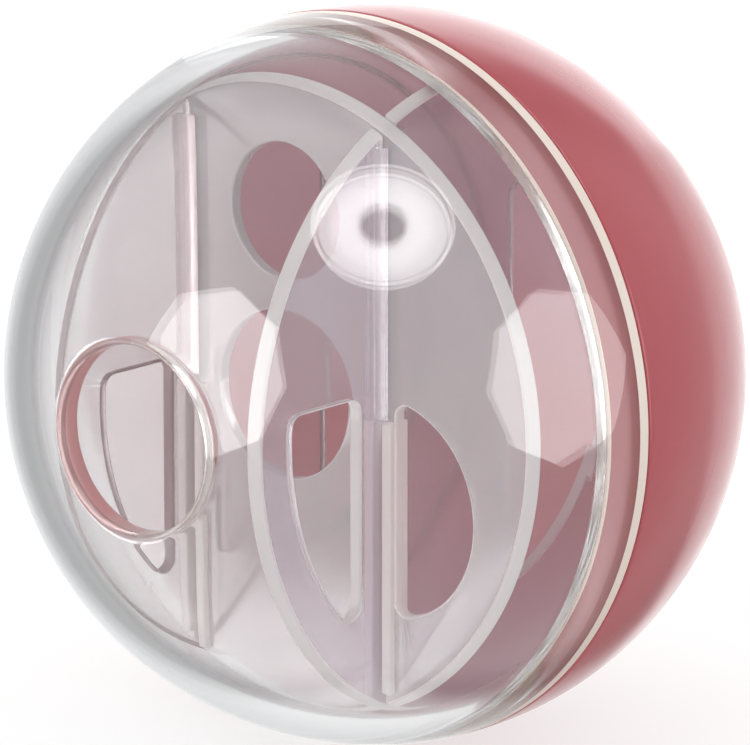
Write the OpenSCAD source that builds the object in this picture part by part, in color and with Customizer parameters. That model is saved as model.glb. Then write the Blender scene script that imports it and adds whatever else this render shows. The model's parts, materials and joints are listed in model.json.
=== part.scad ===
// Treat dispensing ball.
// A clear half with a round exit hole closes over the collar of a red half.
// Inside, three windowed plates interlock at right angles and slow the treats down.
// The ball's centre is the origin, +Z is up, and the exit hole faces -Y.

/* [Ball] */
// Outside diameter of the closed ball
ball_d = 76; // [66:1:96]
// Wall thickness of both shells
shell_wall = 2.6; // [2:0.1:3.4]
// Diameter of the hole that lets the treats out
exit_hole_d = 19; // [12:0.5:26]
// Rounding along both edges of the exit hole
exit_edge_r = 0.6; // [0.2:0.1:0.9]
// Diameter of the shallow recess round the mould's gate, at the red half's pole
gate_d = 5; // [3:0.5:8]
// Depth of that recess
gate_depth = 0.4; // [0.2:0.1:0.8]

/* [Closure] */
// Distance of the parting line from the ball's centre, on the exit side
parting_offset = 2.4; // [1:0.1:4]
// Joint line left between the two rims
parting_gap = 0.15; // [0.05:0.05:0.4]
// Length of the collar that enters the clear half
collar_length = 4.6; // [3:0.1:5.5]
// Bevel round the collar's end, which leads it into the clear half
collar_lead_in = 0.5; // [0.2:0.1:0.8]
// Radial play between the collar and the clear half
collar_clearance = 0.2; // [0.1:0.05:0.35]
// Play at the end of the collar
collar_end_clearance = 0.3; // [0.1:0.1:1]

/* [Maze plates] */
// Thickness of each plate
plate_t = 1.4; // [0.8:0.1:2]
// Distance of the front plate's middle from the ball's centre
front_offset = 13.2; // [11:0.1:15]
// Distance of each side wall's middle from the ball's centre
wall_offset = 12.7; // [11:0.1:14.5]
// Play between the rims of the plates and the shells
rim_clearance = 0.8; // [0.4:0.1:1.2]
// Play between a plate and the slot that it sits in
slot_clearance = 0.3; // [0.2:0.05:0.6]
// Width of the raised lip along each side of a slot
slot_lip_w = 1.2; // [0.6:0.1:1.6]
// Height of that lip above each face of its plate
slot_lip_h = 0.7; // [0.3:0.1:1]

/* [Windows] */
// Radius of the round window in the middle of the front plate
middle_window_r = 8.6; // [6:0.1:9.2]
// Height of its centre above the ball's centre
middle_window_z = 0.5; // [-1:0.1:1.5]
// Radius of the smaller round window above it
upper_window_r = 6.8; // [4:0.1:7.4]
// Height of its centre above the ball's centre
upper_window_z = 19.2; // [18.5:0.1:20.5]
// Width of the rim left outside the half-moon window, beyond the right side wall
moon_window_rim = 4.6; // [3.5:0.1:7]
// Height of that window's centre, below the ball's centre
moon_window_z = -8.8; // [-10:0.1:-7]
// Distance of its straight edge from the middle of the side wall
moon_window_inset = 2.2; // [2.1:0.1:4]
// Distance of the leaf window's straight edge from the front plate's middle
leaf_window_inset = 4.3; // [3:0.1:6]
// Height of the leaf window's top edge
leaf_window_top = 2.8; // [0:0.1:6]
// Width of the rim left outside the leaf window
leaf_window_rim = 4.8; // [3.5:0.1:7]
// Radius of the curved edge of the rear window
rear_window_r = 22; // [17:0.5:26]
// Distance of the rear window's straight edge behind the ball's centre
rear_window_inset = 6; // [3:0.5:9]
// Rounding of the corners of the windows
window_corner_r = 1.3; // [0.5:0.1:2]

/* [Hidden] */
$fn = 96;

// How far a cut runs past the surface that it opens
overrun = 1;

ball_r = ball_d / 2;
inner_r = ball_r - shell_wall;
exit_r = exit_hole_d / 2;

// The collar takes the inner half of the wall and the clear lip the outer half
lip_wall = shell_wall / 2;
parting_r = sqrt(pow(ball_r, 2) - pow(parting_offset, 2));
recess_r = parting_r - lip_wall;
collar_r = recess_r - collar_clearance;
collar_end = parting_offset + collar_length;
recess_end = collar_end + collar_end_clearance;

// Every plate ends on one sphere, just inside the shells
rim_sphere_r = inner_r - rim_clearance;
front_r = sqrt(pow(rim_sphere_r, 2) - pow(front_offset, 2));
wall_r = sqrt(pow(rim_sphere_r, 2) - pow(wall_offset, 2));
slot_w = plate_t + slot_clearance;
// The moon's centre lies halfway between the wall and its own straight edge
moon_window_x = wall_offset + moon_window_inset / 2;
moon_window_r = front_r - moon_window_rim - norm([moon_window_x, moon_window_z]);

// Turns a shape drawn with +Z as the ball's axis so that +Z faces the exit side
module facing_exit() {
    rotate([90, 0, 0]) children();
}

// Turns a plate drawn flat so that it faces left: its +X is the exit side, its +Y is up
module facing_left() {
    rotate([90, 0, -90]) children();
}

// Everything on the exit side of a plane square to the ball's axis
module beyond(height) {
    translate([0, 0, height + ball_r]) cube(2 * ball_r + overrun, center = true);
}

module exit_hole() {
    outer_centre_h = sqrt(pow(ball_r - exit_edge_r, 2) - pow(exit_r + exit_edge_r, 2));
    inner_centre_h = sqrt(pow(inner_r + exit_edge_r, 2) - pow(exit_r + exit_edge_r, 2));
    cylinder(h = ball_r + overrun, r = exit_r);
    exit_edge(outer_centre_h, ball_r / (ball_r - exit_edge_r), 1);
    exit_edge(inner_centre_h, inner_r / (inner_r + exit_edge_r), -1);
}

// The ring that a rounded edge takes away: the corner of the wall less the rounding's circle
module exit_edge(centre_h, reach, side) {
    centre_r = exit_r + exit_edge_r;
    edge = side * exit_edge_r;
    rotate_extrude()
        difference() {
            polygon([
                [exit_r - exit_edge_r, centre_h],
                [centre_r, centre_h],
                [centre_r * reach, centre_h * reach],
                [centre_r * reach, centre_h * reach + edge],
                [exit_r - exit_edge_r, centre_h * reach + edge]
            ]);
            translate([centre_r, centre_h]) circle(r = exit_edge_r);
        }
}

module clear_shell() {
    color("#DDE0E6", 0.35)
        facing_exit()
            difference() {
                intersection() {
                    sphere(r = ball_r);
                    beyond(parting_offset + parting_gap);
                }
                sphere(r = inner_r);
                cylinder(h = recess_end, r = recess_r);
                exit_hole();
            }
}

module red_shell() {
    color("#B8404A", 0.85)
        facing_exit()
            difference() {
                union() {
                    difference() {
                        sphere(r = ball_r);
                        beyond(parting_offset);
                    }
                    collar();
                }
                sphere(r = inner_r);
                gate_recess();
            }
}

module collar() {
    bevel_start = collar_end - collar_lead_in;
    cylinder(h = bevel_start, r = collar_r);
    translate([0, 0, bevel_start])
        cylinder(h = collar_lead_in, r1 = collar_r, r2 = collar_r - collar_lead_in);
}

// The stub that the mould's gate leaves is trimmed inside this recess, below the ball's surface
module gate_recess() {
    translate([0, 0, -ball_r - overrun])
        cylinder(h = overrun + gate_depth, d = gate_d);
}

// A flat round plate at a height above the ball's centre, its rim on the plates' sphere,
// with lips along the given slot positions on the half of the plate that is slotted
module maze_plate(offset_h, slots, slotted_side) {
    difference() {
        intersection() {
            sphere(r = rim_sphere_r);
            union() {
                translate([0, 0, offset_h]) cube([2 * ball_r, 2 * ball_r, plate_t], center = true);
                for (x = slots) slot_strip(x, offset_h, slotted_side, slot_w + 2 * slot_lip_w);
            }
        }
        for (x = slots) slot_cut(x, offset_h, slotted_side);
        plate_windows(offset_h) children();
    }
}

// The raised strip that a slot is cut through
module slot_strip(x, offset_h, slotted_side, width) {
    height = plate_t + 2 * slot_lip_h;
    translate([x, slotted_side * ball_r / 2, offset_h]) cube([width, ball_r, height], center = true);
}

// The slot runs from just past the middle of the plate out through its rim
module slot_cut(x, offset_h, slotted_side) {
    height = plate_t + 2 * slot_lip_h + overrun;
    translate([x, slotted_side * (ball_r - slot_clearance) / 2, offset_h])
        cube([slot_w, ball_r + slot_clearance, height], center = true);
}

module plate_windows(offset_h) {
    translate([0, 0, offset_h - plate_t])
        linear_extrude(height = 2 * plate_t)
            children();
}

// Rounds the corners of a window's outline
module softened() {
    offset(r = window_corner_r) offset(delta = -window_corner_r) children();
}

module moon_window() {
    softened()
        intersection() {
            translate([moon_window_x, moon_window_z]) circle(r = moon_window_r);
            translate([wall_offset + moon_window_inset, -ball_r]) square([ball_r, 2 * ball_r]);
        }
}

module leaf_window() {
    softened()
        intersection() {
            circle(r = wall_r - leaf_window_rim);
            translate([front_offset + leaf_window_inset, leaf_window_top - ball_r])
                square([ball_r, ball_r]);
        }
}

module rear_window() {
    softened()
        intersection() {
            circle(r = rear_window_r);
            translate([-rear_window_inset - ball_r, -ball_r]) square([ball_r, 2 * ball_r]);
        }
}

module front_plate() {
    color("#E9EBEE", 0.6)
        facing_exit()
            maze_plate(front_offset, [-wall_offset, wall_offset], -1) {
                union() {
                    translate([0, middle_window_z]) circle(r = middle_window_r);
                    translate([0, upper_window_z]) circle(r = upper_window_r);
                    moon_window();
                }
            }
}

module left_wall() {
    color("#E4E7EB", 0.6)
        facing_left()
            maze_plate(wall_offset, [front_offset], 1) {
                union() {
                    leaf_window();
                    rear_window();
                }
            }
}

module right_wall() {
    mirror([1, 0, 0]) left_wall();
}

red_shell();
clear_shell();
front_plate();
right_wall();
left_wall();
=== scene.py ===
"""The looks of the treat dispensing ball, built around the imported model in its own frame."""

import json
import math

import bmesh
import bpy
from mathutils import Matrix, Vector
from mathutils.geometry import delaunay_2d_cdt


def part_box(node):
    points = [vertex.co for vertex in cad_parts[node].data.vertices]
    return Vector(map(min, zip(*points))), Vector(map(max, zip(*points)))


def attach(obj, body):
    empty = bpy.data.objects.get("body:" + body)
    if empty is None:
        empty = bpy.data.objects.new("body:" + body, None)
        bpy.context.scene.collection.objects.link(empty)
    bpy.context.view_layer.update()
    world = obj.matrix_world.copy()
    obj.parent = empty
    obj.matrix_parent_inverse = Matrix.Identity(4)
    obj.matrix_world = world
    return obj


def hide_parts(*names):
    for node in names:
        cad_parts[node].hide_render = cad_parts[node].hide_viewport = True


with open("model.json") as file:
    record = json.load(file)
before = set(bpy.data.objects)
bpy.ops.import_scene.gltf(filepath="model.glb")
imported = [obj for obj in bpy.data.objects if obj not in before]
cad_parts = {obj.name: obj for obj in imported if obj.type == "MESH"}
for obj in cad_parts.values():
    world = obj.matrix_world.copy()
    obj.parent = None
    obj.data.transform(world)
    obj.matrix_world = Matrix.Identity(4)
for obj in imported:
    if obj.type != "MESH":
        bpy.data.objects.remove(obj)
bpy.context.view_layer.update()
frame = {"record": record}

MM = 0.001
TURN = 2 * math.pi

# Sizes that the frame gives. A height is measured from the ball's centre along its axis,
# towards the exit hole, so a height of h lies at y = -h. The gate recess takes the red half's
# very pole away, so the radius measured there is 0.08 mm short.
BALL_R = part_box("red_shell")[1].y
COLLAR_END = -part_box("red_shell")[0].y
CLEAR_RIM_H = -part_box("clear_shell")[1].y
EXIT_R = frame["record"]["mounts"][0]["dims"]["r_mm"] * MM
FRONT_H = -(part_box("front_plate")[0].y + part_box("front_plate")[1].y) / 2
WALL_X = (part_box("right_wall")[0].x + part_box("right_wall")[1].x) / 2

# The shells, with the sizes that part.scad gives them
SHELL_WALL = 2.6 * MM
INNER_R = BALL_R - SHELL_WALL
EXIT_EDGE_R = 0.6 * MM
PARTING_GAP = 0.15 * MM
COLLAR_CLEARANCE = 0.2 * MM
COLLAR_END_CLEARANCE = 0.3 * MM
COLLAR_LEAD_IN = 0.5 * MM
GATE_R = 2.5 * MM
GATE_DEPTH = 0.4 * MM
SHOULDER_H = CLEAR_RIM_H - PARTING_GAP
RECESS_R = math.sqrt(BALL_R**2 - SHOULDER_H**2) - SHELL_WALL / 2
COLLAR_R = RECESS_R - COLLAR_CLEARANCE
RECESS_END = COLLAR_END + COLLAR_END_CLEARANCE
# What a moulding has besides: the rounding of its corners. The pale band along the clear rim
# is painted reflection: cream for the bright light that the seam's faces mirror
SHELL_CORNER_R = 0.18 * MM
RIM_BAND_W = 1.3 * MM

# The maze plates, with the sizes from part.scad too, but for the lips' setback and the rounding
# of the plates' edges and corners
PLATE_T = 1.4 * MM
RIM_CLEARANCE = 0.8 * MM
RIM_SPHERE_R = INNER_R - RIM_CLEARANCE
SLOT_CLEARANCE = 0.3 * MM
SLOT_W = PLATE_T + SLOT_CLEARANCE
SLOT_REACH = SLOT_CLEARANCE / 2
LIP_W = 1.2 * MM
LIP_H = 0.7 * MM
LIP_SETBACK = 0.03 * MM
PLATE_EDGE_R = 0.22 * MM
PLATE_CORNER_R = 0.3 * MM
WINDOW_CORNER_R = 1.3 * MM
MIDDLE_WINDOW_R = 8.6 * MM
MIDDLE_WINDOW_Z = 0.5 * MM
UPPER_WINDOW_R = 6.8 * MM
UPPER_WINDOW_Z = 19.2 * MM
MOON_RIM = 4.6 * MM
MOON_Z = -8.8 * MM
MOON_INSET = 2.2 * MM
LEAF_INSET = 4.3 * MM
LEAF_TOP = 2.8 * MM
LEAF_RIM = 4.8 * MM
REAR_WINDOW_R = 22 * MM
REAR_INSET = 6 * MM

# How finely round shapes are divided. A bend has fewer steps up to the small bend's radius.
SHELL_SIDES = 288
OUTSIDE_STEPS = 96
INSIDE_STEPS = 80
RED_SIDE_STEPS = 120
RIM_BAND_STEPS = 4
HOLE_EDGE_STEPS = 8
FILLET_STEPS = 4
CIRCLE_STEPS = 120
PLATE_EDGE_STEPS = 3
SMALL_BEND_R = 1 * MM
STEPS_PER_TURN = 160
SMALL_STEPS_PER_TURN = 32
FEWEST_STEPS = 4

# Edges where faces meet at less than this angle in degrees are shaded smooth
SMOOTH_BELOW = 40.0
PLATE_SMOOTH_BELOW = 35.0

# Points closer than this are one point, and a radius below the second value lies on the axis
SAME_POINT = 0.001 * MM
ON_AXIS = 1e-9


# Small helpers for node trees

def new_material(name):
    """A material with an empty node tree but for its output; returns it and that output."""
    material = bpy.data.materials.new(name)
    material.use_nodes = True
    tree = material.node_tree
    tree.nodes.clear()
    return material, tree.nodes.new("ShaderNodeOutputMaterial")


def feed(tree, socket, value):
    """Gives an input socket a fixed value, or the output of another node."""
    if isinstance(value, bpy.types.NodeSocket):
        tree.links.new(value, socket)
    else:
        socket.default_value = value


def node(tree, kind, settings=None, **inputs):
    """A new node with its settings and its inputs. An underscore in an input's name is a space."""
    made = tree.nodes.new(kind)
    for name, value in (settings or {}).items():
        setattr(made, name, value)
    for name, value in inputs.items():
        feed(tree, made.inputs[name.replace("_", " ")], value)
    return made


def linear(hex_colour):
    """The linear colour of a hex colour as it looks on a screen."""
    parts = [int(hex_colour[i:i + 2], 16) / 255 for i in (1, 3, 5)]
    return [((c + 0.055) / 1.055) ** 2.4 if c > 0.04045 else c / 12.92 for c in parts] + [1.0]


def own_place(tree):
    """The place of a point in its object's own coordinates."""
    return node(tree, "ShaderNodeTexCoord").outputs["Object"]


def noise(tree, scale, detail):
    """Smooth noise in the object's own coordinates, with about one feature in 1 / scale metres."""
    made = node(tree, "ShaderNodeTexNoise", Vector=own_place(tree), Scale=scale, Detail=detail)
    return made.outputs["Fac"]


def between(tree, value, low, high):
    """Noise spread over low to high. Nearly all of it lies between 0.3 and 0.7."""
    made = node(
        tree, "ShaderNodeMapRange", Value=value, From_Min=0.3, From_Max=0.7, To_Min=low, To_Max=high
    )
    return made.outputs["Result"]


def spread(tree, value, low, high, to_low, to_high):
    """The value from low to high spread smoothly over to_low to to_high."""
    smooth = {"interpolation_type": "SMOOTHSTEP"}
    ends = {"From_Min": low, "From_Max": high, "To_Min": to_low, "To_Max": to_high}
    return node(tree, "ShaderNodeMapRange", smooth, Value=value, **ends).outputs["Result"]


def mixed_colour(tree, share, first, second):
    """The first colour where the share is 0 and the second where it is 1."""
    made = node(tree, "ShaderNodeMix", {"data_type": "RGBA"}, Factor=share)
    feed(tree, made.inputs[6], first)
    feed(tree, made.inputs[7], second)
    return made.outputs[2]


def arithmetic(tree, operation, *values):
    made = node(tree, "ShaderNodeMath", {"operation": operation})
    for socket, value in zip(made.inputs, values):
        feed(tree, socket, value)
    return made.outputs[0]


def levels(tree, position, steps):
    """The level at that position among the steps, which are pairs of position and level."""
    ramp = node(tree, "ShaderNodeValToRGB", Fac=position)
    stops = ramp.color_ramp.elements
    while len(stops) < len(steps):
        stops.new(0.5)
    for stop, (place, level) in zip(stops, steps):
        stop.position = place
        stop.color = (level, level, level, 1.0)
    return ramp.outputs["Color"]


# Materials

# Features for each metre, and detail, of the flow that tints a moulding and of its polish
FLOW = (45.0, 4.0)
POLISH = (260.0, 5.0)
SKIN_DETAIL = 1.5
# The depth of the waves in a skin, and their features for each metre
SHELL_WAVE = (0.004 * MM, 60.0)
PLATE_WAVE = (0.003 * MM, 110.0)
EDGE_WAVE = (0.002 * MM, 300.0)
SHELL_IOR = 1.5
PLATE_IOR = 1.45
# How far a face turns away where its painted edge shade starts, and where it is full
GRAZING_SHADE_TURN = (0.4, 0.95)


def plastic(name, colours, roughness, transmission, wave, ior=SHELL_IOR, edge=None, change=None):
    """Moulded plastic: its colour and polish vary a little with the flow, and its skin waves.
    edge is a grey painted into a clear wall's colour where it is seen along its length: painted
    shade that darkens its rims. change is the colour and the transmission that the plastic changes
    to along an axis, the axis, and how far it has changed at each share of the ball's width along
    it."""
    material, output = new_material(name)
    tree = material.node_tree
    flow = between(tree, noise(tree, *FLOW), 0.0, 1.0)
    polish = between(tree, noise(tree, *POLISH), *roughness)
    wave_depth, wave_scale = wave
    skin = noise(tree, wave_scale, SKIN_DETAIL)
    colour = mixed_colour(tree, flow, *map(linear, colours))
    if change:
        new_colour, new_transmission, axis, steps = change
        along = node(tree, "ShaderNodeSeparateXYZ", Vector=own_place(tree)).outputs[axis]
        changed = levels(tree, arithmetic(tree, "MULTIPLY_ADD", along, 0.5 / BALL_R, 0.5), steps)
        colour = mixed_colour(tree, changed, colour, linear(new_colour))
        transmission = spread(tree, changed, 0.0, 1.0, transmission, new_transmission)
    # Painted shade: the colour turns towards the edge grey where the face is seen at a grazing angle
    if edge:
        facing = node(tree, "ShaderNodeLayerWeight", Blend=0.5).outputs["Facing"]
        share = spread(tree, facing, *GRAZING_SHADE_TURN, 0.0, 1.0)
        colour = mixed_colour(tree, share, colour, linear(edge))
    bump = node(tree, "ShaderNodeBump", Height=skin, Strength=1.0, Distance=wave_depth)
    shader = node(
        tree,
        "ShaderNodeBsdfPrincipled",
        Base_Color=colour,
        Roughness=polish,
        Normal=bump.outputs["Normal"],
        Transmission_Weight=transmission,
        IOR=ior,
    )
    tree.links.new(shader.outputs["BSDF"], output.inputs["Surface"])
    return material


# The clear half
# The clear plastic's edge grey is painted shade along the shell's rims
clear_plastic = plastic(
    "clear_plastic", ("#FCFCFD", "#FEFEFE"), (0.008, 0.03), 1.0, SHELL_WAVE, edge="#8A8E92"
)
recess_wall = plastic("recess_wall", ("#FCFCFA", "#FEFEFC"), (0.02, 0.06), 1.0, EDGE_WAVE)
step_face = plastic("step_face", ("#FAFDF8", "#FDFEFB"), (0.05, 0.12), 1.0, EDGE_WAVE)
# Painted reflection: the seam's faces, the clear half's rim band and the red collar's end, are painted
# pale cream for the bright light they mirror
seam_painted_reflection = plastic("seam_painted_reflection", ("#F8E9DD", "#FBEFE4"), (0.3, 0.42), 0.1, EDGE_WAVE)
# The exit hole's edge is painted a greyish pink, and its wall and edge a deeper pink on their left
# side: painted red light, for the red half's light that the clear plastic carries there
HOLE_RED_LIGHT_LEVELS = ((0.44, 1.0), (0.56, 0.0))
hole_edge = plastic(
    "hole_edge", ("#CFC2C2", "#C9BCBC"), (0.1, 0.2), 0.9, EDGE_WAVE,
    change=("#B48C8C", 0.35, "X", HOLE_RED_LIGHT_LEVELS),
)
# Painted red light: the clear hole wall is painted pink on its left side
hole_wall_red_light = plastic(
    "hole_wall_red_light", ("#F4EEEE", "#F0EAEA"), (0.1, 0.2), 1.0, EDGE_WAVE,
    change=("#D8A0A1", 0.2, "X", HOLE_RED_LIGHT_LEVELS),
)

# The red half. Its collar and its lining are painted paler than its outside, and the lining paler
# still at its top and at its foot: painted light
red_plastic = plastic("red_plastic", ("#DC6B73", "#D6646D"), (0.16, 0.22), 0.5, SHELL_WAVE)
# Painted light: the collar is a paler copy of the red
red_collar_painted_light = plastic("red_collar_painted_light", ("#E0959A", "#DA8E94"), (0.16, 0.22), 0.5, SHELL_WAVE)
# Painted light: the lining is paler still at its top and at its foot
LINING_PAINTED_LIGHT_LEVELS = ((0.08, 1.0), (0.2, 0.25), (0.36, 0.0), (0.6, 1.0))
red_lining_painted_light = plastic(
    "red_lining_painted_light", ("#DDA5A8", "#D79DA0"), (0.29, 0.37), 0.32, SHELL_WAVE,
    change=("#E4CEDA", 0.32, "Z", LINING_PAINTED_LIGHT_LEVELS),
)

# The plates
milky_plastic = plastic(
    "milky_plastic", ("#E8DFE6", "#EEE7ED"), (0.04, 0.12), 0.82, PLATE_WAVE, PLATE_IOR
)
hazy_plastic = plastic(
    "hazy_plastic", ("#E4E3E4", "#EAE9EA"), (0.04, 0.12), 0.67, PLATE_WAVE, PLATE_IOR
)
clearer_plastic = plastic(
    "clearer_plastic", ("#F2F0F0", "#F8F6F6"), (0.04, 0.12), 0.92, PLATE_WAVE, PLATE_IOR
)
milky_edge = plastic("milky_edge", ("#FBF7F5", "#FDFAF7"), (0.3, 0.45), 0.5, EDGE_WAVE, PLATE_IOR)
soft_edge = plastic("soft_edge", ("#E6D8DA", "#EADEE0"), (0.45, 0.6), 0.95, EDGE_WAVE, PLATE_IOR)
# Painted shade: a dark grey edge for the left wall's windows, standing in for the dark line that light
# draws along them
painted_shade_edge = plastic("painted_shade_edge", ("#AC989A", "#A49092"), (0.45, 0.6), 0.4, EDGE_WAVE, PLATE_IOR)


# Outlines. A bend is a part of a circle: centre across, centre up, radius, first and last angle in
# degrees. It turns left where the angle grows. Bends are joined by straight lines.

def bend_steps(bends):
    """The number of steps along each bend: fewer on the small corners, where a step is short anyway."""
    counts = []
    for *_, radius, first, last in bends:
        per_turn = STEPS_PER_TURN if radius > SMALL_BEND_R else SMALL_STEPS_PER_TURN
        counts.append(max(FEWEST_STEPS, round(abs(last - first) / 360 * per_turn)))
    return counts


def outline(bends, shift, counts):
    """The points of a row of bends, moved to the left of the way round by shift."""
    points = []
    for (across, up, radius, first, last), steps in zip(bends, counts):
        grown = radius - shift if last > first else radius + shift
        for i in range(steps + 1):
            angle = math.radians(first + (last - first) * i / steps)
            point = (across + grown * math.cos(angle), up + grown * math.sin(angle))
            if not points or math.dist(point, points[-1]) > SAME_POINT:
                points.append(point)
    if math.dist(points[0], points[-1]) < SAME_POINT:
        points.pop()
    return points


def closed_circle(across, up, radius):
    """One circle as a single bend that stops a step short, so that no point is there twice."""
    return [(across, up, radius, 0.0, 360.0 * (CIRCLE_STEPS - 1) / CIRCLE_STEPS)]


def lens(across, up, radius, cut, corner=WINDOW_CORNER_R):
    """A circle cut by the upright line at cut, which keeps its right part, with rounded corners."""
    reach = cut + corner - across
    half = math.sqrt((radius - corner) ** 2 - reach**2)
    turn = math.degrees(math.atan2(half, reach))
    return [
        (across, up, radius, -turn, turn),
        (cut + corner, up + half, corner, turn, 180.0),
        (cut + corner, up - half, corner, 180.0, 360.0 - turn),
    ]


def leaf(radius, cut, top, corner=WINDOW_CORNER_R):
    """The part of a circle right of the line at cut and below the line at top."""
    x, y = cut + corner, top - corner
    right = math.sqrt((radius - corner) ** 2 - y**2)
    low = math.sqrt((radius - corner) ** 2 - x**2)
    turn_right = math.degrees(math.atan2(y, right))
    turn_low = math.degrees(math.atan2(-low, x))
    return [
        (0.0, 0.0, radius, turn_low, turn_right),
        (right, y, corner, turn_right, 90.0),
        (x, y, corner, 90.0, 180.0),
        (x, -low, corner, 180.0, 360.0 + turn_low),
    ]


def flipped(bends):
    """The bends mirrored left to right, still running left round their shape."""
    turned = [(-x, y, r, 180.0 - last, 180.0 - first) for x, y, r, first, last in bends]
    return turned[::-1]


def notched_disc(radius, slots, side):
    """A disc with slots from its middle out through its rim, on the upper side where side is 1."""
    corner = PLATE_CORNER_R
    half = SLOT_W / 2
    slots_from_right = sorted(slots, reverse=True)
    rims = []
    for x in slots_from_right:
        for edge, outward in ((x + half, 1), (x - half, -1)):
            centre_x = edge + outward * corner
            centre_y = math.sqrt((radius - corner) ** 2 - centre_x**2)
            rims.append((centre_x, centre_y, math.degrees(math.atan2(centre_y, centre_x))))
    bends = [(0.0, 0.0, radius, -360.0 + rims[-1][2], rims[0][2])]
    low = -SLOT_REACH + corner
    for i, x in enumerate(slots_from_right):
        right, left = rims[2 * i], rims[2 * i + 1]
        bends.append((right[0], right[1], corner, right[2], 180.0))
        bends.append((x + half - corner, low, corner, 0.0, -90.0))
        bends.append((x - half + corner, low, corner, -90.0, -180.0))
        bends.append((left[0], left[1], corner, 0.0, left[2]))
        if i + 1 < len(slots):
            bends.append((0.0, 0.0, radius, left[2], rims[2 * i + 2][2]))
    if side < 0:
        turned = flipped(bends)
        bends = [(-x, -y, r, 180.0 + first, 180.0 + last) for x, y, r, first, last in turned]
    return bends


# Meshes

def finished(name, mesh, materials):
    """A new object with that mesh, whose faces take the materials by their number."""
    piece = bpy.data.objects.new(name, mesh)
    bpy.context.scene.collection.objects.link(piece)
    for material in materials:
        mesh.materials.append(material)
    return piece


def distinct(materials):
    """The materials in their order, each of them once."""
    kept = []
    for material in materials:
        if material not in kept:
            kept.append(material)
    return kept


def smooth_by_angle(made, degrees):
    """Smooth shading that breaks where two faces meet at more than this angle."""
    limit = math.radians(degrees)
    for edge in made.edges:
        edge.smooth = edge.calc_face_angle(0.0) < limit
    for face in made.faces:
        face.smooth = True


def revolve(name, profile, base, stretches):
    """A closed ring of faces round the ball's axis. The profile is a closed loop of (radius, height)
    points, or one whose two ends lie on the axis. A stretch is the number of its first and of its
    last point and the material that it takes; the rest takes the base material."""
    materials = distinct([base] + [material for *_, material in stretches])
    made = bmesh.new()
    rings = []
    for radius, height in profile:
        if radius < ON_AXIS:
            rings.append([made.verts.new((0.0, -height, 0.0))])
            continue
        ring = []
        for i in range(SHELL_SIDES):
            angle = TURN * i / SHELL_SIDES
            ring.append(made.verts.new((radius * math.cos(angle), -height, radius * math.sin(angle))))
        rings.append(ring)
    closed = len(rings[0]) > 1
    for k in range(len(rings) if closed else len(rings) - 1):
        here, there = rings[k], rings[(k + 1) % len(rings)]
        own = [material for first, last, material in stretches if first <= k < last]
        slot_number = materials.index(own[0] if own else base)
        for i in range(SHELL_SIDES):
            j = (i + 1) % SHELL_SIDES
            if len(here) == 1:
                corners = [here[0], there[j], there[i]]
            elif len(there) == 1:
                corners = [here[i], here[j], there[0]]
            else:
                corners = [here[i], here[j], there[j], there[i]]
            made.faces.new(corners).material_index = slot_number
    bmesh.ops.recalc_face_normals(made, faces=made.faces[:])
    smooth_by_angle(made, SMOOTH_BELOW)
    mesh = bpy.data.meshes.new(name)
    made.to_mesh(mesh)
    made.free()
    return finished(name, mesh, materials)


def arc_points(centre_r, centre_h, radius, first, last, steps):
    """Points on a circle in the (radius, height) plane. Angle 0 points away from the axis."""
    points = []
    for i in range(steps + 1):
        angle = math.radians(first + (last - first) * i / steps)
        points.append((centre_r + radius * math.cos(angle), centre_h + radius * math.sin(angle)))
    return points


def angle_at(radius, height):
    return math.degrees(math.atan2(height, radius))


def fillet_between(previous, corner, following, radius):
    """Points that round the corner of two nearly straight stretches."""
    a = (Vector(previous) - Vector(corner)).normalized()
    b = (Vector(following) - Vector(corner)).normalized()
    half = a.angle(b) / 2
    run = radius / math.tan(half)
    start, end = Vector(corner) + a * run, Vector(corner) + b * run
    centre = Vector(corner) + (a + b).normalized() * (radius / math.sin(half))
    first, last = start - centre, end - centre
    sweep = first.angle_signed(last)
    points = []
    for i in range(FILLET_STEPS + 1):
        points.append(tuple(centre + Matrix.Rotation(-sweep * i / FILLET_STEPS, 2) @ first))
    return points


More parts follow.
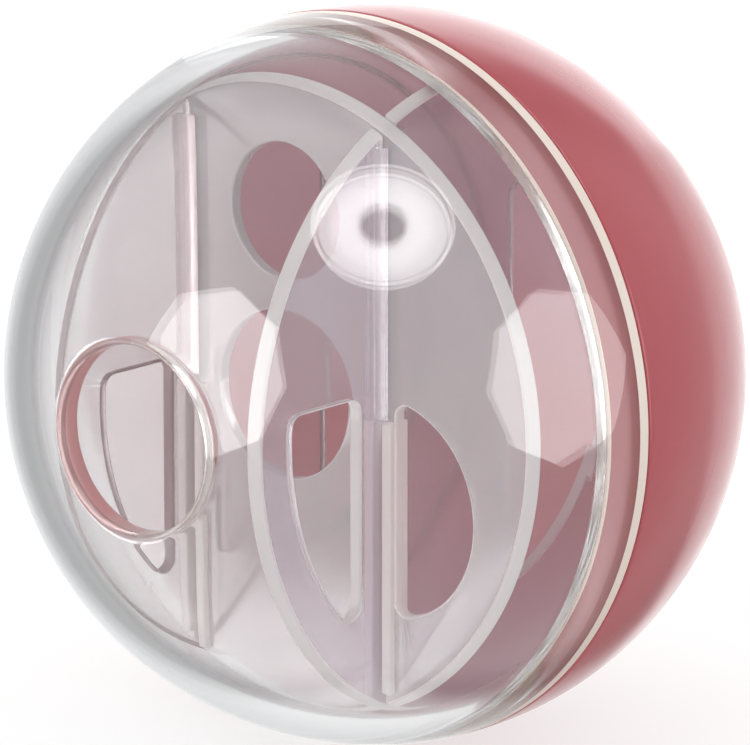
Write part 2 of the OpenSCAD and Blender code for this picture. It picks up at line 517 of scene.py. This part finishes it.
def make_clear_half():
    """The clear half: its hole, outside, rounded rim, recess for the collar, step and inside."""
    edge_r = EXIT_R + EXIT_EDGE_R
    outer_c = math.sqrt((BALL_R - EXIT_EDGE_R) ** 2 - edge_r**2)
    inner_c = math.sqrt((INNER_R + EXIT_EDGE_R) ** 2 - edge_r**2)
    outer_turn = angle_at(edge_r, outer_c)
    inner_turn = angle_at(edge_r, inner_c)
    rim_out = (math.sqrt(BALL_R**2 - CLEAR_RIM_H**2), CLEAR_RIM_H)
    rim_in = (RECESS_R, CLEAR_RIM_H)
    step_out = (RECESS_R, RECESS_END)
    step_in = (math.sqrt(INNER_R**2 - RECESS_END**2), RECESS_END)
    corner = SHELL_CORNER_R
    points = arc_points(edge_r, outer_c, EXIT_EDGE_R, 180.0, outer_turn, HOLE_EDGE_STEPS)
    hole_end = len(points) - 1
    band_h = CLEAR_RIM_H + RIM_BAND_W
    band_turn = angle_at(math.sqrt(BALL_R**2 - band_h**2), band_h)
    rim_turn = angle_at(rim_out[0], CLEAR_RIM_H + corner)
    points += arc_points(0.0, 0.0, BALL_R, outer_turn, band_turn, OUTSIDE_STEPS)[1:]
    rim_first = len(points) - 1
    points += arc_points(0.0, 0.0, BALL_R, band_turn, rim_turn, RIM_BAND_STEPS)[1:]
    points += fillet_between(points[-1], rim_out, rim_in, corner)[1:]
    points += fillet_between(rim_out, rim_in, step_out, corner)
    rim_last = len(points) - 1
    step_first = len(points)
    points += fillet_between(rim_in, step_out, step_in, corner)
    points += fillet_between(step_out, step_in, (step_in[0], step_in[1] + corner), corner / 2)
    step_last = len(points) - 1
    inner_first = angle_at(*points[-1])
    points += arc_points(0.0, 0.0, INNER_R, inner_first, inner_turn, INSIDE_STEPS)[1:]
    hole_first = len(points) - 1
    points += arc_points(edge_r, inner_c, EXIT_EDGE_R, 180.0 + inner_turn, 180.0, HOLE_EDGE_STEPS)[1:]
    stretches = [
        (rim_first, rim_last, seam_painted_reflection),
        # The hole's wall: painted red light on its left side
        (hole_first, len(points), hole_wall_red_light),
        (0, hole_end, hole_edge),
        (step_first, step_last, step_face),
        (rim_last, step_first, recess_wall),
    ]
    return revolve("clear_half_moulded", points, clear_plastic, stretches)


def make_red_half():
    """The red half, from its pole and gate recess round the collar and back along the inside."""
    shoulder_out = (math.sqrt(BALL_R**2 - SHOULDER_H**2), SHOULDER_H)
    shoulder_in = (COLLAR_R, SHOULDER_H)
    bevel_out = (COLLAR_R, COLLAR_END - COLLAR_LEAD_IN)
    bevel_in = (COLLAR_R - COLLAR_LEAD_IN, COLLAR_END)
    end_in = (math.sqrt(INNER_R**2 - COLLAR_END**2), COLLAR_END)
    gate_floor = (GATE_R, GATE_DEPTH - BALL_R)
    gate_edge = (GATE_R, -math.sqrt(BALL_R**2 - GATE_R**2))
    corner = SHELL_CORNER_R
    rim_turn = angle_at(shoulder_out[0], SHOULDER_H - corner)
    gate_turn = angle_at(GATE_R + corner, gate_edge[1])
    points = [(0.0, gate_floor[1])]
    points += fillet_between(points[0], gate_floor, gate_edge, corner / 2)
    points += fillet_between(gate_floor, gate_edge, (GATE_R + corner, gate_edge[1]), corner / 2)
    points += arc_points(0.0, 0.0, BALL_R, gate_turn, rim_turn, RED_SIDE_STEPS)
    points += fillet_between(points[-1], shoulder_out, shoulder_in, corner)[1:]
    points += fillet_between(shoulder_out, shoulder_in, bevel_out, corner)
    collar_first = len(points) - 1
    end_first = len(points)
    points += fillet_between(shoulder_in, bevel_out, bevel_in, corner)
    points += fillet_between(bevel_out, bevel_in, end_in, corner)
    points += fillet_between(bevel_in, end_in, (end_in[0], end_in[1] - corner), corner / 2)
    end_last = len(points) - 1
    inner_first = angle_at(*points[-1])
    points += arc_points(0.0, 0.0, INNER_R, inner_first, -90.0, RED_SIDE_STEPS)[1:-1]
    points.append((0.0, -INNER_R))
    stretches = [
        # The collar's end is painted pale cream: painted reflection
        (end_first, end_last, seam_painted_reflection),
        (end_last, len(points), red_lining_painted_light),
        (collar_first, end_first, red_collar_painted_light),
    ]
    return revolve("red_half_moulded", points, red_plastic, stretches)


def fill_between(made, rings):
    """Fills the flat face inside the first ring of points, but for the convex holes inside the
    others."""
    points = [vertex for ring in rings for vertex in ring]
    ring_of = [number for number, ring in enumerate(rings) for _ in ring]
    edges = []
    for ring in rings:
        start = len(edges)
        edges += [(start + i, start + (i + 1) % len(ring)) for i in range(len(ring))]
    triangles_inside = 1
    same_point_mm = 1e-6
    flat = [vertex.co.xy for vertex in points]
    filled = delaunay_2d_cdt(flat, edges, [], triangles_inside, same_point_mm)
    triangles, origins = filled[2], filled[3]
    for triangle in triangles:
        corners = [origins[i][0] for i in triangle]
        touched = {ring_of[i] for i in corners}
        if len(touched) > 1 or 0 in touched:
            made.faces.new([points[i] for i in corners])


def rim_radius(height):
    """The radius of a plate's rim at that height above the ball's centre: it follows a sphere."""
    return math.sqrt(RIM_SPHERE_R**2 - height**2)


def edge_layers():
    """The shift inwards and the height of each ring of points round a plate's rounded edge, from its
    upper face down to its lower one."""
    upper = []
    for k in range(PLATE_EDGE_STEPS + 1):
        angle = math.pi / 2 * k / PLATE_EDGE_STEPS
        shift = PLATE_EDGE_R * (1 - math.sin(angle))
        upper.append((shift, PLATE_T / 2 - PLATE_EDGE_R * (1 - math.cos(angle))))
    return upper + [(shift, -height) for shift, height in reversed(upper)]


def plate(name, offset, slots, side, windows, face, rim, lips):
    """A flat moulded plate at a height above the ball's centre: rounded edges, a rim that follows
    the shells, windows, and slots with raised lips on the side given. A window is its bends and its
    edge's material, and face, rim and lips are materials too. The mesh is made in millimetres and
    scaled at the end, because joining the lips needs distances that are not too small."""
    materials = distinct([face, rim, lips] + [edge for _, edge in windows])
    made = bmesh.new()
    upper_rings = []
    lower_rings = []
    for window, edge in [(None, rim)] + windows:
        rings = []
        counts = bend_steps(window or notched_disc(rim_radius(offset), slots, side))
        for shift, height in edge_layers():
            if window:
                loop = outline(window, -shift, counts)
            else:
                loop = outline(notched_disc(rim_radius(offset + height), slots, side), shift, counts)
            rings.append([made.verts.new(Vector((x, y, height + offset)) / MM) for x, y in loop])
        for here, there in zip(rings, rings[1:]):
            for i in range(len(here)):
                j = (i + 1) % len(here)
                around = made.faces.new([here[i], here[j], there[j], there[i]])
                around.material_index = materials.index(edge)
        upper_rings.append(rings[0])
        lower_rings.append(rings[-1])
    fill_between(made, upper_rings)
    fill_between(made, lower_rings)
    bmesh.ops.recalc_face_normals(made, faces=made.faces[:])
    smooth_by_angle(made, SMOOTH_BELOW)
    mesh = bpy.data.meshes.new(name)
    made.to_mesh(mesh)
    made.free()
    piece = finished(name, mesh, materials)
    lips_radius = rim_radius(offset + PLATE_T / 2 + LIP_H)
    for number, (low, high) in enumerate(lip_boxes(slots, side, lips_radius)):
        join_box(piece, f"{name}_lip_{number}", low, high, offset, materials, lips)
    piece.data.transform(Matrix.Scale(MM, 4))
    return piece


def lip_boxes(slots, side, radius):
    """The lips' boxes beside each slot, from the middle of the plate out to its rim. They are set
    back a hair from the slot's sides, so that no two faces lie in one plane."""
    boxes = []
    for x in slots:
        for way in (1, -1):
            near = x + way * (SLOT_W / 2 + LIP_SETBACK)
            far = x + way * (SLOT_W / 2 + LIP_W)
            reach = math.sqrt(radius**2 - max(abs(near), abs(far)) ** 2) - PLATE_CORNER_R
            ends = sorted((near, far))
            if side > 0:
                boxes.append(((ends[0], 0.0), (ends[1], reach)))
            else:
                boxes.append(((ends[0], -reach), (ends[1], 0.0)))
    return boxes


def join_box(piece, name, low, high, offset, materials, material):
    """Adds a box with rounded edges, as high as the lips, to a plate, and leaves one closed mesh."""
    made = bmesh.new()
    bmesh.ops.create_cube(made, size=1.0)
    size = Vector((high[0] - low[0], high[1] - low[1], PLATE_T + 2 * LIP_H))
    middle = Vector(((high[0] + low[0]) / 2, (high[1] + low[1]) / 2, offset))
    for vertex in made.verts:
        vertex.co = (Vector(a * b for a, b in zip(vertex.co, size)) + middle) / MM
    bmesh.ops.bevel(
        made,
        geom=made.edges[:],
        offset=PLATE_EDGE_R / MM,
        segments=PLATE_EDGE_STEPS,
        profile=0.5,
        affect="EDGES",
    )
    for face in made.faces:
        face.material_index = materials.index(material)
    mesh = bpy.data.meshes.new(name)
    made.to_mesh(mesh)
    made.free()
    box = finished(name, mesh, materials)
    union = piece.modifiers.new("lip", "BOOLEAN")
    union.operation = "UNION"
    union.solver = "EXACT"
    union.object = box
    apply_modifiers(piece)
    bpy.data.objects.remove(box)


def apply_modifiers(piece):
    """Leaves the piece with the mesh that its modifiers make."""
    bpy.context.view_layer.update()
    evaluated = piece.evaluated_get(bpy.context.evaluated_depsgraph_get())
    mesh = bpy.data.meshes.new_from_object(evaluated)
    piece.modifiers.clear()
    old = piece.data
    piece.data = mesh
    bpy.data.meshes.remove(old)


def weigh_normals(piece):
    """Flat faces keep their own normal, and only the rounded edges bend the light."""
    made = bmesh.new()
    made.from_mesh(piece.data)
    smooth_by_angle(made, PLATE_SMOOTH_BELOW)
    made.to_mesh(piece.data)
    made.free()
    weighted = piece.modifiers.new("normals", "WEIGHTED_NORMAL")
    weighted.keep_sharp = True
    weighted.weight = 100
    apply_modifiers(piece)


def make_front_plate():
    """The plate across the ball. Its two round windows have edges as hazy as its faces."""
    moon_x = WALL_X + MOON_INSET / 2
    moon_r = rim_radius(FRONT_H) - MOON_RIM - math.hypot(moon_x, MOON_Z)
    windows = [
        (closed_circle(0.0, MIDDLE_WINDOW_Z, MIDDLE_WINDOW_R), hazy_plastic),
        (closed_circle(0.0, UPPER_WINDOW_Z, UPPER_WINDOW_R), hazy_plastic),
        (lens(moon_x, MOON_Z, moon_r, WALL_X + MOON_INSET), milky_edge),
    ]
    slots = (-WALL_X, WALL_X)
    piece = plate(
        "front_plate_moulded", FRONT_H, slots, -1, windows, hazy_plastic, milky_edge, milky_edge
    )
    piece.data.transform(Matrix.Rotation(math.radians(90.0), 4, "X"))
    weigh_normals(piece)
    return piece


def make_wall(name, side, face, rim, lips, window_edge):
    """A side wall, on the right where side is 1. In its plane the exit side is to the right."""
    windows = [
        (leaf(rim_radius(WALL_X) - LEAF_RIM, FRONT_H + LEAF_INSET, LEAF_TOP), window_edge),
        (flipped(lens(0.0, 0.0, REAR_WINDOW_R, REAR_INSET)), window_edge),
    ]
    piece = plate(name, WALL_X, (FRONT_H,), 1, windows, face, rim, lips)
    upright = Matrix.Rotation(math.radians(90.0), 4, "X")
    facing_left = Matrix.Rotation(math.radians(-90.0), 4, "Z") @ upright
    piece.data.transform(facing_left)
    if side > 0:
        piece.data.transform(Matrix.Scale(-1.0, 4, (1.0, 0.0, 0.0)))
        piece.data.flip_normals()
    weigh_normals(piece)
    return piece


def stand_for(piece, cad_node, body):
    """Has the piece stand for a CAD node, which it hides, on its body."""
    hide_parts(cad_node)
    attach(piece, body)


clear_half = make_clear_half()
red_half = make_red_half()
front_plate = make_front_plate()
right_wall = make_wall("right_wall_moulded", 1, milky_plastic, milky_edge, milky_plastic, milky_edge)
left_wall = make_wall("left_wall_moulded", -1, clearer_plastic, soft_edge, soft_edge, painted_shade_edge)
stand_for(clear_half, "clear_shell", "clear_half")
stand_for(red_half, "red_shell", "red_half")
stand_for(front_plate, "front_plate", "maze")
stand_for(right_wall, "right_wall", "maze")
stand_for(left_wall, "left_wall", "maze")


# The camera stands where the photograph's did. The ball's centre and radius in the picture are in
# the photograph's pixels.

CAMERA_AZIMUTH = math.radians(41.2)
CAMERA_ELEVATION = math.radians(13.8)
CAMERA_DISTANCE = 20 * BALL_R
PICTURE = Vector((750.0, 745.0))
BALL_CENTRE_PX = Vector((374.8, 374.0))
BALL_RADIUS_PX = 371.0


def make_camera():
    """The camera looks at the ball's centre, and its shift puts the ball where the picture has it."""
    back = Vector((
        math.sin(CAMERA_AZIMUTH) * math.cos(CAMERA_ELEVATION),
        -math.cos(CAMERA_AZIMUTH) * math.cos(CAMERA_ELEVATION),
        math.sin(CAMERA_ELEVATION),
    ))
    data = bpy.data.cameras.new("camera")
    data.sensor_width = 36.0
    half_angle = math.asin(BALL_R / CAMERA_DISTANCE)
    data.lens = data.sensor_width * BALL_RADIUS_PX / (PICTURE.x * math.tan(half_angle))
    data.shift_x = (PICTURE.x / 2 - BALL_CENTRE_PX.x) / PICTURE.x
    data.shift_y = (BALL_CENTRE_PX.y - PICTURE.y / 2) / PICTURE.x
    data.clip_start = 0.01
    data.clip_end = 100.0
    made = bpy.data.objects.new("camera", data)
    bpy.context.scene.collection.objects.link(made)
    made.location = back * CAMERA_DISTANCE
    made.rotation_mode = "QUATERNION"
    made.rotation_quaternion = (-back).to_track_quat("-Z", "Y")
    bpy.context.scene.camera = made
    return made


camera = make_camera()


# Light: a white world and floor, softboxes that the shells mirror, and a card that the plates mirror

WHITE = (1.0, 1.0, 1.0, 1.0)
LAMP_DISTANCE = 0.9
# The strength of every lamp and of the world as matt faces see it
LAMP_LIGHT = 0.8
WORLD_LIGHT = 1.0
# Name, direction in the camera's frame, half angle in degrees, number of sides, and strength as it
# shows in reflections
SOFTBOXES = (
    ("softbox_left", (-0.78, 0.01, 0.63), 24.0, 8, 5.2),
    ("softbox_right", (0.855, -0.01, 0.52), 24.0, 8, 4.3),
    ("softbox_behind_right", (0.46, 0.12, -0.88), 26.0, 32, 1.4),
    ("softbox_behind_top", (0.2, 0.42, -0.885), 23.0, 32, 1.9),
)
RING_HALF_ANGLE = 20.0
RING_LIGHT = ("softbox_top", (0.04, 0.72, 0.69), RING_HALF_ANGLE, 32, 7.5)
# Share of the ring light's radius, and its strength there
RING_STEPS = (
    (0.0, 0.08), (0.27, 0.08), (0.37, 1.0), (0.6, 1.0),
    (0.8, 0.75), (0.9, 0.7), (0.925, 0.2), (0.95, 0.8),
)
CARD_TOWARDS = Vector((-0.632, -0.740, -0.232)).normalized()
CARD_DISTANCE = 0.2
CARD_R = 0.075
CARD_SIDES = 32
CARD_GLOSS = 6.5
CARD_DIM = 0.12
CARD_HEAD_LEVEL = 0.5
# Where the card's bright left and foot fade away, and where its head starts and is full
CARD_LEFT = (-12 * MM, -2 * MM)
CARD_FOOT = (-38 * MM, -22 * MM)
CARD_HEAD = (25 * MM, 60 * MM)
# Cosine of the angle to the side of straight behind the ball, and the world's strength there
WORLD_STEPS = ((0.55, 1.0), (0.78, 0.52), (0.9, 0.5), (0.955, 1.0))
FLOOR_HALF_SIZE = 3.0
# The share of light that the floor gives back to matt faces, and the share and the glow that the
# camera sees
FLOOR_DULL = (0.7, 0.7, 0.7, 1.0)
FLOOR_PALE = (0.4, 0.4, 0.4, 1.0)
FLOOR_GLOW = 0.68


def seen_directly(tree):
    """1 for rays that reach the camera straight or through gloss and glass, and 0 for light on matt
    faces. Returns that and the outputs that tell what kind of ray it is."""
    path = node(tree, "ShaderNodeLightPath").outputs
    seen = arithmetic(tree, "MAXIMUM", path["Is Camera Ray"], path["Is Transmission Ray"])
    shiny = arithmetic(tree, "MAXIMUM", seen, path["Is Glossy Ray"])
    first = arithmetic(tree, "LESS_THAN", path["Diffuse Depth"], 0.5)
    return arithmetic(tree, "MULTIPLY", shiny, first), path


def make_world():
    """All white, but for two grey flags behind the ball, one on each side, which give the clear
    shell its grey rims."""
    world = bpy.data.worlds.new("studio")
    world.use_nodes = True
    tree = world.node_tree
    tree.nodes.clear()
    seen, path = seen_directly(tree)
    way = node(tree, "ShaderNodeTexCoord").outputs["Generated"]
    parts = node(tree, "ShaderNodeSeparateXYZ", Vector=way).outputs
    azimuth = arithmetic(tree, "ARCTAN2", parts["X"], parts["Y"])
    turned = arithmetic(tree, "ADD", azimuth, CAMERA_AZIMUTH)
    flags = levels(tree, arithmetic(tree, "COSINE", turned), WORLD_STEPS)
    shade = arithmetic(tree, "MAXIMUM", flags, path["Is Camera Ray"])
    strength = spread(tree, seen, 0.0, 1.0, WORLD_LIGHT, shade)
    background = node(tree, "ShaderNodeBackground", Color=WHITE, Strength=strength)
    output = node(tree, "ShaderNodeOutputWorld")
    tree.links.new(background.outputs[0], output.inputs["Surface"])
    bpy.context.scene.world = world


def make_floor():
    """A pale floor under the ball, which takes its shadow. Glass and gloss see the world through it."""
    bpy.ops.mesh.primitive_plane_add(size=2 * FLOOR_HALF_SIZE, location=(0.0, 0.0, -BALL_R))
    floor = bpy.context.object
    floor.name = "floor"
    material, output = new_material("floor")
    tree = material.node_tree
    seen, _ = seen_directly(tree)
    dull = node(tree, "ShaderNodeBsdfDiffuse", Color=FLOOR_DULL)
    pale = node(tree, "ShaderNodeBsdfDiffuse", Color=FLOOR_PALE)
    glow = node(tree, "ShaderNodeEmission", Color=WHITE, Strength=FLOOR_GLOW)
    lit = node(tree, "ShaderNodeAddShader")
    tree.links.new(pale.outputs[0], lit.inputs[0])
    tree.links.new(glow.outputs[0], lit.inputs[1])
    choice = node(tree, "ShaderNodeMixShader")
    tree.links.new(seen, choice.inputs[0])
    tree.links.new(dull.outputs[0], choice.inputs[1])
    tree.links.new(lit.outputs[0], choice.inputs[2])
    tree.links.new(choice.outputs[0], output.inputs["Surface"])
    floor.data.materials.append(material)
    floor.visible_glossy = False
    floor.visible_transmission = False


def lamp_face(name, towards, distance, radius, sides, gloss, pattern=None):
    """A lamp face in that direction from the ball, which the ball mirrors as a patch of light.
    pattern makes the share of its strength in reflections from the place on its face. Seen through
    the clear plastic without a reflection it is as white as the world."""
    material, output = new_material(name)
    tree = material.node_tree
    seen, path = seen_directly(tree)
    if pattern:
        gloss = arithmetic(tree, "MULTIPLY", pattern(tree), gloss)
    mirrored = arithmetic(tree, "GREATER_THAN", path["Glossy Depth"], 0.5)
    shown = spread(tree, mirrored, 0.0, 1.0, 1.0, gloss)
    strength = spread(tree, seen, 0.0, 1.0, LAMP_LIGHT, shown)
    glow = node(tree, "ShaderNodeEmission", Strength=strength)
    tree.links.new(glow.outputs[0], output.inputs["Surface"])
    made = bmesh.new()
    bmesh.ops.create_circle(made, cap_ends=True, segments=sides, radius=radius)
    mesh = bpy.data.meshes.new(name)
    made.to_mesh(mesh)
    made.free()
    lamp = finished(name, mesh, [material])
    lamp.location = towards * distance
    lamp.rotation_mode = "QUATERNION"
    lamp.rotation_quaternion = towards.to_track_quat("Z", "Y")
    lamp.visible_camera = False
    return lamp


def softbox_radius(half_angle):
    """The radius of a lamp face that takes up that half angle in degrees as the ball sees it."""
    return LAMP_DISTANCE * math.tan(math.radians(half_angle))


def make_softbox(name, direction, half_angle, sides, gloss, pattern=None):
    """A lamp face in a direction that is given in the camera's frame."""
    towards = camera.rotation_quaternion @ Vector(direction).normalized()
    lamp_face(name, towards, LAMP_DISTANCE, softbox_radius(half_angle), sides, gloss, pattern)


def ring_pattern(tree):
    """A ring light: a dim hub, a bright ring, and a thin dark line inside its edge."""
    reach = node(tree, "ShaderNodeVectorMath", {"operation": "LENGTH"})
    tree.links.new(own_place(tree), reach.inputs[0])
    share = arithmetic(tree, "DIVIDE", reach.outputs["Value"], softbox_radius(RING_HALF_ANGLE))
    return levels(tree, share, RING_STEPS)


def card_pattern(tree):
    """The card is bright to the left and along its foot, less so along its head, and dim between."""
    parts = node(tree, "ShaderNodeSeparateXYZ", Vector=own_place(tree)).outputs
    left = spread(tree, parts["X"], *CARD_LEFT, 1.0, CARD_DIM)
    foot = spread(tree, parts["Y"], *CARD_FOOT, 1.0, CARD_DIM)
    head = spread(tree, parts["Y"], *CARD_HEAD, CARD_DIM, CARD_HEAD_LEVEL)
    return arithmetic(tree, "MAXIMUM", left, arithmetic(tree, "MAXIMUM", foot, head))


make_world()
make_floor()
for softbox_values in SOFTBOXES:
    make_softbox(*softbox_values)
make_softbox(*RING_LIGHT, ring_pattern)
card = lamp_face("card", CARD_TOWARDS, CARD_DISTANCE, CARD_R, CARD_SIDES, CARD_GLOSS, card_pattern)
card.visible_diffuse = False

scene = bpy.context.scene
scene.view_settings.view_transform = "Standard"
scene.cycles.max_bounces = 32
scene.cycles.diffuse_bounces = 12
scene.cycles.glossy_bounces = 32
scene.cycles.transmission_bounces = 32
scene.cycles.blur_glossy = 0.0
